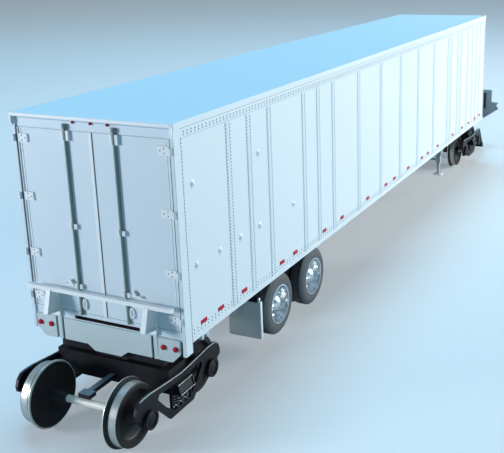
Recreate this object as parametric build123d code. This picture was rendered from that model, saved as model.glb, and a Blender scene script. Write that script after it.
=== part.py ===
from build123d import *
import os

# A 1:87 model of a 53 foot bimodal van trailer, standing in rail mode on two rail bogies.
# All sizes are millimetres on the model.
# Here x runs forward from the rear door frame, y to the left, and z up from the rail head.

# Van body
body_length = 185.5
half_width = 14.87
roof_top = 48.94
side_bottom = 14.55
sheet_skin = 0.85
rail_proud = 0.12
post_proud = 0.05
roof_sheet = 0.60
top_rail_height = 2.44
bottom_rail_height = 0.75
nose_wall = 1.20
nose_corner = 0.80
floor_above_bottom = 1.65
floor_thick = 1.00
member_above_bottom = 0.40
member_first = 5.6
member_pitch = 7.0
member_width = 0.9

# Post strips on the sides, the last ones measured back from the nose
post_width = 1.50
post_first = 15.4
post_pitch = 14.0
rear_extra_posts = (22.1, 50.0)
nose_extra_posts = (41.0, 33.6, 22.1, 11.3, 6.8)
post_free_end = 3.0

# Side marks: reflectors as parts of the body length, bumps as (x, part of the door height)
reflector_places = (0.030, 0.058, 0.100, 0.177, 0.207, 0.281, 0.331, 0.413, 0.479, 0.512, 0.570,
                    0.633, 0.662, 0.713, 0.797, 0.854, 0.897, 0.939, 0.973)
reflector_above_bottom = 2.15
reflector_length = 1.7
reflector_height = 0.62
reflector_proud = 0.10
bump_spots = ((4.5, 0.317), (11.4, 0.317), (18.1, 0.317), (24.8, 0.317), (38.2, 0.317), (4.5, 0.747),
              (25.1, 0.747))
bump_radius = 0.45
bump_proud = 0.30

# Rear frame and doors
corner_depth = 1.90
corner_width = 0.55
corner_foot_depth = 1.50
corner_below_side = 1.65
cap_height = 0.55
cap_overhang = 0.40
header_height = 2.34
door_recess = 0.30
door_thick = 1.00
door_gap = 0.06
door_above_bottom = 2.35
sill_above_bottom = 0.65
seam_width = 0.55
seam_proud = 0.15
hinge_parts = (0.943, 0.626, 0.310, 0.060)
hinge_clear_of_side = 1.37
hinge_width = 1.50
hinge_height = 1.10
hinge_leaf = 0.15
hinge_strap_half = 0.20
hinge_pin_radius = 0.22
rod_part = 0.306
rod_radius = 0.25
rod_top_gap = 1.25
rod_knob_radius = 0.42
rod_knob_height = 0.70
keeper_table = ((0.977, 1.55), (0.492, 0.8), (0.155, 0.8))
keeper_half_width = 0.72
loop_half_width = 0.42
loop_half_height = 0.85
loop_thick = 0.20
loop_proud = 0.30
loop_above_door_bottom = 1.60
handle_reach = 2.80
handle_height = 1.15
handle_start = 1.00
handle_peak = 1.50
handle_end = 2.00
handle_lift = 0.35
handle_bar_height = 0.25
handle_thick = 0.50
header_lamps_y = (3.0, -0.3, -3.4)
header_lamp_below_roof = 0.95
lamp_radius = 0.42
small_lamp_radius = 0.22
lamp_proud = 0.25

# Slot for the next trailer's tongue, apron round it and lamp panels
slot_half_width = 6.35
slot_height = 0.62
slot_above_bottom = 1.00
slot_depth = 1.30
apron_clear_of_side = 6.37
apron_face = 0.0
apron_above_bottom = 0.85
apron_below = 2.85
apron_lip_below = 3.85
apron_lip_half = 3.93
apron_lip_slope = 1.40
rib_width = 0.65
rib_clear_of_side = 5.27
rib_below = 2.90
lamp_panel_inner_clear = 4.92
lamp_panel_outer_clear = 1.00
lamp_panel_above = 0.95
lamp_panel_below = 2.80
lamp_panel_bevel = 1.45
lamp_panel_face = -0.20
lamp_below = 0.48
lamp_clear_of_side = (3.92, 1.72)

# Raised bumper guard on two arms, each a thin web between a sloping front flange and a back flange
guard_clear_of_side = 1.02
guard_bottom = 20.65
guard_height = 0.65
guard_x = -1.75
guard_depth = 0.75
arm_clear_of_side = 5.10
arm_width = 0.85
arm_web = 0.20
arm_flange = 0.30
arm_top_x = -1.90
arm_tip_x = -3.00
arm_tip_z = 17.20
arm_foot_z = 16.60
arm_back_x = -0.20
arm_back_low = 15.85

# Rail bogies: wheels for 16.5 mm track, flanges and axles
rear_bogie_x = 3.0
lead_bogie_behind_nose = 0.5
axle_offset = 8.8
tread_radius = 5.00
flange_radius = 5.50
wheel_back = 6.80
wheel_width = 2.30
hub_proud = 0.25
rail_axle_radius = 0.60
journal_radius = 0.45
journal_length = 0.60
end_play = 0.05
running_gap = 0.05

# Side frames, bolsters and springs
frame_clear_of_wheel = 1.90
frame_thick = 0.50
frame_half_length = 12.0
frame_top = 8.85
frame_dip = 0.65
chord = 1.10
chord_low = 1.90
opening_half = 2.45
opening_floor = 2.90
post_thick = 0.30
box_radius = 1.60
box_proud = 0.60
bolster_half = 2.35
bolster_plate_half = 2.07
bolster_low = 5.50
bolster_end_high = 7.20
bolster_top = 9.50
bolster_end_proud = 0.80
bolster_plate_lean = 0.50
bolster_border = 0.16
bolster_panel_depth = 0.20
spring_radius = 0.50
spring_places = (-1.35, 0.0, 1.35)
tie_half_width = 0.50
tie_low = 6.20
tie_high = 6.90
tie_reach = 9.60
tie_head_half = 1.10
pin_radius = 1.20
pin_low = 6.60
seat_gap = 0.20
seat_pad = 0.35
seat_half_depth = 2.40
seat_half_width = 10.0
end_beam_ahead = 3.60
end_beam_depth = 0.90
end_beam_low = 1.00
end_beam_high = 2.40
end_arm_low = 6.40
end_arm_high = 7.40

# Road axles, raised clear of the rails
rear_road_axle_x = 32.6
road_axle_z = 8.40
tyre_radius = 5.80
tyre_gap_along = 3.30
tyre_width = 2.80
tyre_clear_of_side = 0.62
tyre_corner = 0.70
tyre_shoulder = 0.55
twin_gap = 0.45
rim_radius = 3.70
spindle_radius = 0.70
spindle_clear_of_face = 1.25
beam_radius = 0.90
beam_clear = 0.80
hand_hole_radius = 0.34
hand_hole_count = 10
hand_hole_at = 2.30

# Road suspension
rail_inside_twin = 3.00
rail_half = 0.50
rail_above_axle = 3.20
rail_ends = 8.6
arm_half = 0.35
arm_above_axle = 1.20
airbag_radius = 1.00
airbag_behind = 2.60

# Mud flaps and landing gear
flap_behind_axle = 8.4
flap_thick = 0.40
flap_inner = 8.2
flap_bottom = 5.1
flap_top = 12.2
hanger_height = 0.80
hanger_depth = 1.00
leg_behind_nose = 41.5
leg_inside_side = 3.17
leg_half = 0.60
leg_inner_half = 0.38
leg_bottom = 8.60
leg_head = (-1.50, 2.20)
leg_head_half = 1.30
leg_head_thick = 0.50
foot_half_length = 1.30
foot_half_width = 1.20
brace_rod_z = 9.60
brace_rod_radius = 0.30
brace_low = 9.40
brace_high = 10.20
brace_reach = 7.60
brace_width = 1.20
brace_half_thick = 0.25
foot_bottom = 5.0
foot_thick = 0.40
bracket_xs = (4.9, 6.9)
bracket_low = 13.6

# Coupling platform ahead of the nose
platform_ahead = 23.9
platform_thick = 1.0
platform_top = 20.2
platform_step = 15.8
platform_block_clear = 2.67
platform_low = 9.30
deck_half_width = 9.0
deck_low = 12.60
deck_thick = 0.80
sill_half_width = 3.2
panel_half_width = 10.6
panel_low = 12.8
panel_high = 19.2
panel_depth = 0.50
slat_count = 16
slat_width = 0.60
coupler_z = 11.30
coupler_box_length = 2.20
coupler_box_half = 1.90
coupler_box_half_height = 1.30
coupler_screw_radius = 0.45

# Heights and faces that follow from the sizes above
sheet_face = half_width - rail_proud
wall_inner = sheet_face - sheet_skin
wall_top = roof_top - roof_sheet
top_rail_bottom = roof_top - top_rail_height
bottom_rail_top = side_bottom + bottom_rail_height
floor_bottom = side_bottom + floor_above_bottom
member_bottom = side_bottom + member_above_bottom
nose_inner = body_length - nose_wall
door_bottom = side_bottom + door_above_bottom
door_top = roof_top - header_height
door_height = door_top - door_bottom
door_face = door_recess
door_back = door_recess + door_thick
post_inner = half_width - corner_width
sill_bottom = side_bottom + sill_above_bottom
wheel_face = wheel_back + wheel_width
frame_inner = wheel_face + frame_clear_of_wheel
frame_outer = frame_inner + frame_thick
bogie_xs = {"rear": rear_bogie_x, "lead": body_length - lead_bogie_behind_nose}
seat_low = bolster_top + seat_gap
seat_bottom = seat_low + seat_pad
fore_road_axle_x = rear_road_axle_x + 2 * tyre_radius + tyre_gap_along
road_axle_xs = {"rear": rear_road_axle_x, "fore": fore_road_axle_x}
tyre_outer_face = half_width - tyre_clear_of_side
twin_outer = (tyre_outer_face, tyre_outer_face - tyre_width)
twin_inner = (twin_outer[1] - twin_gap, twin_outer[1] - twin_gap - tyre_width)
spindle_end = tyre_outer_face - spindle_clear_of_face
suspension_y = twin_inner[1] - rail_inside_twin
rail_low = road_axle_z + rail_above_axle
arm_high = road_axle_z + arm_above_axle
leg_x = body_length - leg_behind_nose
leg_y = half_width - leg_inside_side
platform_x = body_length + platform_ahead


def box(x0, x1, y0, y1, z0, z1):
    return Pos((x0 + x1) / 2, (y0 + y1) / 2, (z0 + z1) / 2) * Box(abs(x1 - x0), abs(y1 - y0), abs(z1 - z0))


def rod_x(x0, x1, y, z, r):
    return Pos((x0 + x1) / 2, y, z) * Rot(0, 90, 0) * Cylinder(r, abs(x1 - x0))


def rod_y(y0, y1, x, z, r):
    return Pos(x, (y0 + y1) / 2, z) * Rot(90, 0, 0) * Cylinder(r, abs(y1 - y0))


def rod_z(z0, z1, x, y, r):
    return Pos(x, y, (z0 + z1) / 2) * Cylinder(r, abs(z1 - z0))


def plate_xz(points, y0, y1):
    outline = Polyline(*[(x, y0, z) for x, z in points], close=True)
    return extrude(make_face(outline), amount=y1 - y0, dir=(0, 1, 0))


def plate_yz(points, x0, x1):
    outline = Polyline(*[(x0, y, z) for y, z in points], close=True)
    return extrude(make_face(outline), amount=x1 - x0, dir=(1, 0, 0))


def turned_y(profile, x, z):
    # profile is a list of (y, radius) pairs, turned about a line along y
    outline = Polyline(*[(x, y, z + r) for y, r in profile], close=True)
    return revolve(make_face(outline), Axis((x, 0, z), (0, 1, 0)))


def left(shape):
    return mirror(shape, Plane.XZ)


def both(*shapes):
    return [s for s in shapes] + [left(s) for s in shapes]


nodes = {}

# Side walls: riveted sheet with raised top and bottom rails and a strip at each post
wall = box(corner_depth, nose_inner, -sheet_face, -wall_inner, side_bottom, wall_top)
wall += box(corner_depth, nose_inner, -half_width, -wall_inner, top_rail_bottom, wall_top)
wall += box(corner_depth, nose_inner, -half_width, -wall_inner, side_bottom, bottom_rail_top)
post_xs = [post_first + post_pitch * k for k in range(int((nose_inner - post_first) / post_pitch) + 1)]
post_xs += list(rear_extra_posts) + [body_length - back for back in nose_extra_posts]
for px in post_xs:
    if px < nose_inner - post_free_end:
        wall += box(px - post_width / 2, px + post_width / 2, -sheet_face - post_proud, -wall_inner - 0.1,
                    bottom_rail_top - 0.1, top_rail_bottom + 0.1)
nodes["side_wall_right"] = [wall]
nodes["side_wall_left"] = [left(wall)]

# Roof, nose wall, floor and cross members
nodes["roof"] = [box(corner_depth, body_length, -half_width, half_width, wall_top, roof_top)]
nose = box(nose_inner, body_length, -half_width, half_width, side_bottom, wall_top)
nose = fillet(nose.edges().filter_by(Axis.Z).group_by(Axis.X)[-1], nose_corner)
nodes["nose_wall"] = [nose]
floor_top = floor_bottom + floor_thick
nodes["floor"] = [box(corner_depth, nose_inner, -wall_inner, wall_inner, floor_bottom, floor_top)]
members = []
for k in range(int((nose_inner - member_first - member_width) / member_pitch) + 1):
    mx = member_first + member_pitch * k
    members.append(box(mx - member_width / 2, mx + member_width / 2, -wall_inner, wall_inner,
                       member_bottom, floor_bottom))
nodes["cross_members"] = members

# Rear frame: corner posts, header under an overhanging cap, sill with the coupling slot
corner = box(0, corner_depth, -half_width, -post_inner, side_bottom, roof_top)
corner += box(0, corner_foot_depth, -half_width, -post_inner,
              side_bottom - corner_below_side, side_bottom + 0.1)
frame = corner + left(corner)
frame += box(door_face, corner_depth, -post_inner, post_inner, door_top + 0.1, roof_top)
frame += box(-cap_overhang, corner_depth, -half_width, half_width, roof_top - cap_height, roof_top)
frame += box(door_face, corner_depth, -post_inner, post_inner, sill_bottom, door_bottom - 0.1)
slot_low = side_bottom + slot_above_bottom
slot_high = slot_low + slot_height
frame -= box(-1, slot_depth, -slot_half_width, slot_half_width, slot_low, slot_high)
nodes["rear_frame"] = [frame]

# Rear doors, closed
door = box(door_face, door_back, -post_inner + door_gap, -door_gap, door_bottom, door_top)
nodes["rear_door_right"] = [door]
nodes["rear_door_left"] = [left(door)]
nodes["door_seam_strip"] = [box(door_face - seam_proud, door_face, -seam_width / 2, seam_width / 2,
                                door_bottom, door_top)]
hinges = []
hinge_outer = half_width - hinge_clear_of_side
for part in hinge_parts:
    hz = door_bottom + part * door_height
    leaf = box(door_face - hinge_leaf, door_face, -hinge_outer, -hinge_outer + hinge_width,
               hz - hinge_height / 2, hz + hinge_height / 2)
    leaf += box(door_face - hinge_leaf, door_face, -post_inner + door_gap, -hinge_outer + 0.1,
                hz - hinge_strap_half, hz + hinge_strap_half)
    knuckle = rod_z(hz - hinge_height / 2, hz + hinge_height / 2, -hinge_pin_radius,
                    -post_inner - hinge_pin_radius, hinge_pin_radius)
    hinges += both(leaf, knuckle)
nodes["door_hinges"] = hinges

# Two lock rods with a knob on top, keepers, loops below the guard and handles above it
rod_y_place = rod_part * half_width
rod_x_place = door_face - rod_radius
rod_high = roof_top - rod_top_gap
guard_top = guard_bottom + guard_height
rods = []
keepers = []
for side in (-1, 1):
    sy = side * rod_y_place
    rod = rod_z(door_bottom - 0.3, rod_high, rod_x_place, sy, rod_radius)
    knob = rod_z(rod_high - rod_knob_height, rod_high, rod_x_place, sy, rod_knob_radius)
    rods.append(rod + (knob & box(-2, door_face, -half_width, half_width, 0, roof_top)))
    for part, height in keeper_table:
        kz = door_bottom + part * door_height
        for hand in (-1, 1):
            inner_y = sy + hand * (rod_radius + 0.02)
            outer_y = sy + hand * keeper_half_width
            keepers.append(box(rod_x_place - 0.2, door_face, min(inner_y, outer_y), max(inner_y, outer_y),
                               kz - height / 2, kz + height / 2))
    loop_y = sy - rod_radius - 0.05 - loop_half_width
    loop_z = door_bottom + loop_above_door_bottom
    ring = []
    for inset in (0.0, loop_thick):
        w = loop_half_width - inset
        h = loop_half_height - inset
        corners = [(-w, -h / 2), (-w, h / 2), (-w / 2, h), (w / 2, h),
                   (w, h / 2), (w, -h / 2), (w / 2, -h), (-w / 2, -h)]
        ring.append(plate_yz([(loop_y + y, loop_z + z) for y, z in corners], door_face - loop_proud, door_face))
    keepers.append(ring[0] - ring[1])
    handle_x = door_face - handle_thick
    plate_low = guard_top + handle_lift
    handle = plate_yz([(-rod_y_place - handle_start, plate_low),
                       (-rod_y_place - handle_peak, guard_top + handle_height),
                       (-rod_y_place - handle_end, plate_low)], handle_x, door_face)
    handle += box(handle_x, door_face, -rod_y_place - handle_reach, -rod_y_place - handle_start,
                  plate_low - handle_bar_height, plate_low + 0.05)
    keepers.append(handle if side < 0 else left(handle))
nodes["lock_rods"] = rods
nodes["rod_keepers"] = keepers

# Raised bumper guard and its two arms
guard_half = half_width - guard_clear_of_side
bar = box(guard_x, guard_x + guard_depth, -guard_half, guard_half, guard_bottom, guard_top)
arm_outer = half_width - arm_clear_of_side
arm_inner = arm_outer - arm_width
arm_mid = (arm_outer + arm_inner) / 2
arm_top = guard_bottom + 0.2
front_flange = [(arm_top_x + arm_flange, arm_top), (arm_top_x, arm_top), (arm_tip_x, arm_tip_z),
                (arm_tip_x + arm_flange, arm_tip_z)]
foot_flange = [(arm_tip_x + 0.05, arm_tip_z - 0.15), (arm_tip_x, arm_tip_z), (arm_tip_x + 0.2, arm_tip_z + 0.1),
               (arm_back_x + 0.1, arm_foot_z + 0.2), (arm_back_x + 0.1, arm_foot_z)]
web = [(arm_back_x + 0.1, arm_top), (arm_top_x + 0.1, arm_top), (arm_tip_x + 0.1, arm_tip_z),
       (arm_back_x + 0.1, arm_foot_z + 0.1)]
arm = plate_xz(web, -arm_mid - arm_web / 2, -arm_mid + arm_web / 2)
arm += plate_xz(front_flange, -arm_outer, -arm_inner)
arm += plate_xz(foot_flange, -arm_outer, -arm_inner)
arm += box(arm_back_x, door_face, -arm_outer, -arm_inner, arm_back_low, arm_top)
nodes["bumper_guard"] = [bar + arm + left(arm)]

# Apron below the slot with a stepped lower edge, and upright ribs beside it
apron_half = half_width - apron_clear_of_side
apron_low = side_bottom - apron_below
lip_low = side_bottom - apron_lip_below
lip_flat = apron_lip_half - apron_lip_slope
panel_inner = half_width - lamp_panel_inner_clear
panel_outer = half_width - lamp_panel_outer_clear
apron_high = side_bottom + apron_above_bottom
apron = plate_yz([(-apron_half, apron_high), (-apron_half, apron_low), (-apron_lip_half, apron_low),
                  (-lip_flat, lip_low), (lip_flat, lip_low), (apron_lip_half, apron_low),
                  (apron_half, apron_low), (apron_half, apron_high)], apron_face, door_face)
rib_outer = half_width - rib_clear_of_side
rib = box(apron_face, door_face, -rib_outer, -rib_outer + rib_width,
          side_bottom - rib_below, arm_back_low - 0.1)
nodes["coupling_apron"] = [apron] + both(rib)
panel_low_edge = side_bottom - lamp_panel_below
panel_high_edge = side_bottom + lamp_panel_above
lamp_panel = plate_yz([(-panel_inner, panel_high_edge), (-panel_inner, panel_low_edge),
                       (-panel_outer + lamp_panel_bevel, panel_low_edge),
                       (-panel_outer, panel_low_edge + lamp_panel_bevel), (-panel_outer, panel_high_edge)],
                      lamp_panel_face, door_face)
nodes["lamp_panels"] = both(lamp_panel)
lamp_z = side_bottom - lamp_below
nodes["tail_lamps"] = both(*[rod_x(lamp_panel_face - lamp_proud, lamp_panel_face, clear - half_width, lamp_z,
                                   lamp_radius) for clear in lamp_clear_of_side])
nodes["header_lamps"] = [rod_x(door_face - lamp_proud, door_face, y, roof_top - header_lamp_below_roof,
                               small_lamp_radius) for y in header_lamps_y]

# Reflectors, small raised bumps and brackets along the sides
reflector_z = side_bottom + reflector_above_bottom
marks = []
for place in reflector_places:
    rx = place * body_length
    over_post = any(abs(rx - px) < (reflector_length + post_width) / 2 for px in post_xs)
    base = sheet_face + post_proud if over_post else sheet_face
    marks.append(box(rx - reflector_length / 2, rx + reflector_length / 2, -base - reflector_proud, -base,
                     reflector_z - reflector_height / 2, reflector_z + reflector_height / 2))
nodes["side_reflectors"] = both(*marks)
bumps = [rod_y(-sheet_face - bump_proud, -sheet_face, x, door_bottom + part * door_height, bump_radius)
         for x, part in bump_spots]
nodes["side_bumps"] = both(*bumps)
bracket = box(bracket_xs[0], bracket_xs[1], -sheet_face + 0.1, -sheet_face + 0.7, bracket_low, side_bottom)
bracket -= box((bracket_xs[0] + bracket_xs[1]) / 2 - 0.4, (bracket_xs[0] + bracket_xs[1]) / 2 + 0.4,
               -half_width, half_width, bracket_low - 0.5, side_bottom - 0.4)
nodes["side_brackets"] = both(bracket)

# Seats under the body where the rail bogies turn, each with its centre pin
for name, bx in bogie_xs.items():
    back = max(bx - seat_half_depth, door_face + 0.6)
    front = bx + seat_half_depth
    inside = min(front, nose_inner - 0.02)
    seat = box(back, inside, -seat_half_width, seat_half_width, seat_bottom, member_bottom)
    if back < corner_depth:
        seat += box(back, corner_depth, -seat_half_width, seat_half_width, seat_bottom, sill_bottom)
    seat += box(back, front, -seat_half_width, seat_half_width, seat_bottom, side_bottom - 0.02)
    seat += box(back, front, -3, 3, seat_low, seat_bottom + 0.1)
    seat += rod_z(pin_low, seat_bottom + 0.5, bx, 0, pin_radius)
    nodes["bogie_seat_" + name] = [seat]

# Road suspension: rails, trailing arms and air springs, then the two axles
rail_start = road_axle_xs["rear"] - rail_ends
rail_finish = road_axle_xs["fore"] + rail_ends - 1
nodes["suspension_rails"] = [box(rail_start, rail_finish, side * suspension_y - rail_half,
                                 side * suspension_y + rail_half, rail_low, member_bottom) for side in (-1, 1)]
arms = []
airbags = []
axles = []
for name, ax in road_axle_xs.items():
    beam = rod_y(-twin_inner[1] + beam_clear, twin_inner[1] - beam_clear, ax, road_axle_z, beam_radius)
    beam += rod_y(-spindle_end, spindle_end, ax, road_axle_z, spindle_radius)
    axles.append(beam)
    for side in (-1, 1):
        y0 = side * suspension_y - arm_half
        y1 = side * suspension_y + arm_half
        arm = plate_xz([(ax - 6.2, rail_low), (ax - 4.2, rail_low), (ax - 4.2, arm_high), (ax + 3.6, arm_high),
                        (ax + 3.6, arm_high - 0.6), (ax - 5.6, arm_high - 0.8)], y0, y1)
        arms.append(arm - beam)
        airbags.append(rod_z(arm_high, rail_low, ax + airbag_behind, side * suspension_y, airbag_radius))
nodes["trailing_arms"] = arms
nodes["air_springs"] = airbags
nodes["road_axles"] = axles


# Twin road wheels, one body for each end of each axle
def tyre(x, faces):
    a, b = faces
    profile = [(-a, rim_radius), (-a, tyre_radius - tyre_corner), (-a + tyre_shoulder, tyre_radius),
               (-b - tyre_shoulder, tyre_radius), (-b, tyre_radius - tyre_corner), (-b, rim_radius)]
    return turned_y(profile, x, road_axle_z)


def outer_rim(x):
    a, b = twin_outer
    bore = spindle_radius + running_gap
    blind = spindle_end + 0.1
    profile = [(-a - 0.05, rim_radius), (-a - 0.05, rim_radius - 0.3), (-a + 0.5, rim_radius - 0.45),
               (-b - 0.9, rim_radius - 0.7), (-b - 0.75, 1.5), (-a + 0.7, 1.4), (-a + 0.35, 0.9),
               (-a + 0.3, 0.0), (-blind, 0.0), (-blind, bore), (-b + 0.15, bore), (-b + 0.15, 1.3),
               (-b - 0.35, 1.3), (-b - 0.45, rim_radius - 0.4), (-b, rim_radius - 0.3), (-b, rim_radius)]
    rim = turned_y(profile, x, road_axle_z)
    for k in range(hand_hole_count):
        turn = Rot(0, 360 / hand_hole_count * k, 0)
        rim -= Pos(x, 0, road_axle_z) * turn * Pos(hand_hole_at, -b - 0.6, 0) * Rot(90, 0, 0) * Cylinder(
            hand_hole_radius, 1.2)
    return rim


def inner_rim(x):
    a, b = twin_inner
    bore = spindle_radius + running_gap
    profile = [(-a, rim_radius), (-a, bore), (-b - 0.3, bore), (-b - 0.3, 1.3), (-a + 0.8, 1.3),
               (-a + 0.8, rim_radius - 0.5), (-b, rim_radius - 0.3), (-b, rim_radius)]
    return turned_y(profile, x, road_axle_z)


for name, ax in road_axle_xs.items():
    tyres = [tyre(ax, twin_outer), tyre(ax, twin_inner)]
    rims = [outer_rim(ax), inner_rim(ax)]
    nodes["road_tyres_" + name + "_right"] = tyres
    nodes["road_rims_" + name + "_right"] = rims
    nodes["road_tyres_" + name + "_left"] = [left(t) for t in tyres]
    nodes["road_rims_" + name + "_left"] = [left(r) for r in rims]

# Mud flaps behind the road wheels, with a round end on each hanger
flap_x = road_axle_xs["rear"] - flap_behind_axle
flap_outer = half_width - 0.17
nodes["mud_flaps"] = both(box(flap_x - flap_thick / 2, flap_x + flap_thick / 2, -flap_outer, -flap_inner,
                              flap_bottom, flap_top))
hanger_end = half_width - 0.60
hanger = box(flap_x - hanger_depth / 2, flap_x + hanger_depth / 2, -hanger_end, -suspension_y - rail_half,
             flap_top, flap_top + hanger_height)
hanger += box(flap_x - hanger_depth / 2, flap_x + hanger_depth / 2, -hanger_end + 2.9, -hanger_end + 1.9,
              flap_top, member_bottom)
nodes["flap_hangers"] = both(hanger)

# Landing gear, wound up
legs = []
feet = []
brace = [rod_y(-leg_y + leg_half, leg_y - leg_half, leg_x, brace_rod_z, brace_rod_radius)]
for side in (-1, 1):
    y = side * leg_y
    leg = box(leg_x - leg_half, leg_x + leg_half, y - leg_half, y + leg_half, leg_bottom, member_bottom)
    leg += box(leg_x - leg_inner_half, leg_x + leg_inner_half, y - leg_inner_half, y + leg_inner_half,
               foot_bottom + foot_thick, leg_bottom + leg_inner_half)
    leg += box(leg_x + leg_head[0], leg_x + leg_head[1], y - leg_head_half, y + leg_head_half,
               member_bottom - leg_head_thick, member_bottom)
    legs.append(leg)
    feet.append(box(leg_x - foot_half_length, leg_x + foot_half_length,
                    y - foot_half_width, y + foot_half_width, foot_bottom, foot_bottom + foot_thick))
    brace_start = leg_x + leg_half
    brace_end = leg_x + brace_reach
    brace.append(plate_xz([(brace_start, brace_low), (brace_start, brace_high), (brace_end, member_bottom),
                           (brace_end + brace_width, member_bottom)],
                          y - brace_half_thick, y + brace_half_thick))
nodes["landing_legs"] = legs
nodes["landing_feet"] = feet
nodes["landing_braces"] = brace

# Coupling platform: sill and deck ahead of the lead seat, upright end frame and dark slatted panel
sill_start = bogie_xs["lead"] + seat_half_depth
sill = box(sill_start, platform_x, -sill_half_width, sill_half_width, seat_bottom + 0.4, deck_low + 0.1)
sill += box(sill_start, platform_x, -deck_half_width, deck_half_width, deck_low, deck_low + deck_thick)
nodes["platform_sill"] = [sill]
prong = half_width - 0.07
block_half = half_width - platform_block_clear
half_outline = [(6.0, platform_low), (9.6, platform_low + 0.55), (prong, 13.4), (prong - 0.8, 14.7),
                (prong - 0.1, 15.6), (block_half, platform_step), (block_half, platform_top)]
end_outline = [(-y, z) for y, z in half_outline] + [(y, z) for y, z in reversed(half_outline)]
end_frame = plate_yz(end_outline, platform_x, platform_x + platform_thick)
end_frame -= box(platform_x - 1, platform_x + panel_depth, -panel_half_width, panel_half_width,
                 panel_low, panel_high)
nodes["platform_end_frame"] = [end_frame]
slat_pitch = (2 * panel_half_width - 0.4) / slat_count
slats = []
for k in range(slat_count):
    sy = -panel_half_width + 0.2 + slat_pitch * (k + 0.5)
    slats.append(box(platform_x + 0.1, platform_x + panel_depth, sy - slat_width / 2, sy + slat_width / 2,
                     deck_low + deck_thick + 0.1, panel_high - 0.1))
nodes["platform_slats"] = slats

# Knuckle coupler in its box
box_start = platform_x + platform_thick
box_end = box_start + coupler_box_length
pocket = box(box_start, box_end, -coupler_box_half, coupler_box_half, coupler_z - coupler_box_half_height,
             coupler_z + coupler_box_half_height)
shank = box(box_end, box_end + 2.4, -0.7, 0.7, coupler_z - 0.7, coupler_z + 0.7)
head = box(box_end + 2.4, box_end + 3.4, -1.3, 1.1, coupler_z - 1.2, coupler_z + 1.2)
knuckle = box(box_end + 3.4, box_end + 5.0, -1.3, -0.5, coupler_z - 1.0, coupler_z + 1.0)
screw_hole = rod_z(coupler_z - 3, coupler_z + 3, box_start + coupler_box_length / 2, 0, coupler_screw_radius)
nodes["knuckle_coupler"] = [pocket + shank + head + knuckle - screw_hole]

# Rail bogies: side frames as half outlines from the centre to the front end, then mirrored
dip_top = frame_top - frame_dip
half_frame = [(0, chord_low), (3.3, chord_low), (6.5, 5.3), (7.2, 4.2), (7.8, 3.4), (9.8, 3.4), (10.6, 4.4),
              (11.2, 5.8), (11.9, 6.1), (frame_half_length, 7.0), (11.6, 8.0), (10.8, frame_top - 0.15),
              (9.8, frame_top), (8.0, frame_top), (3.2, dip_top + 0.2), (0, dip_top)]
window_start = opening_half + post_thick
big_window = [(window_start, 3.3), (window_start, dip_top + 0.1 - chord), (5.9, frame_top - 0.25 - chord),
              (6.35, 6.8), (4.5, 4.7)]
opening_top = dip_top - chord
journal_end = frame_inner + journal_length


def rail_wheel(x, side):
    face = wheel_face
    profile = [(side * wheel_back, rail_axle_radius), (side * wheel_back, flange_radius - 0.25),
               (side * (wheel_back + 0.2), flange_radius), (side * (wheel_back + 0.45), flange_radius - 0.05),
               (side * (wheel_back + 0.8), tread_radius + 0.05), (side * face, tread_radius - 0.07),
               (side * face, tread_radius - 0.95), (side * (face - 0.7), tread_radius - 1.25),
               (side * (face - 0.6), 1.5), (side * (face + hub_proud), 1.2),
               (side * (face + hub_proud), rail_axle_radius)]
    return turned_y(profile, x, tread_radius)


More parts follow.
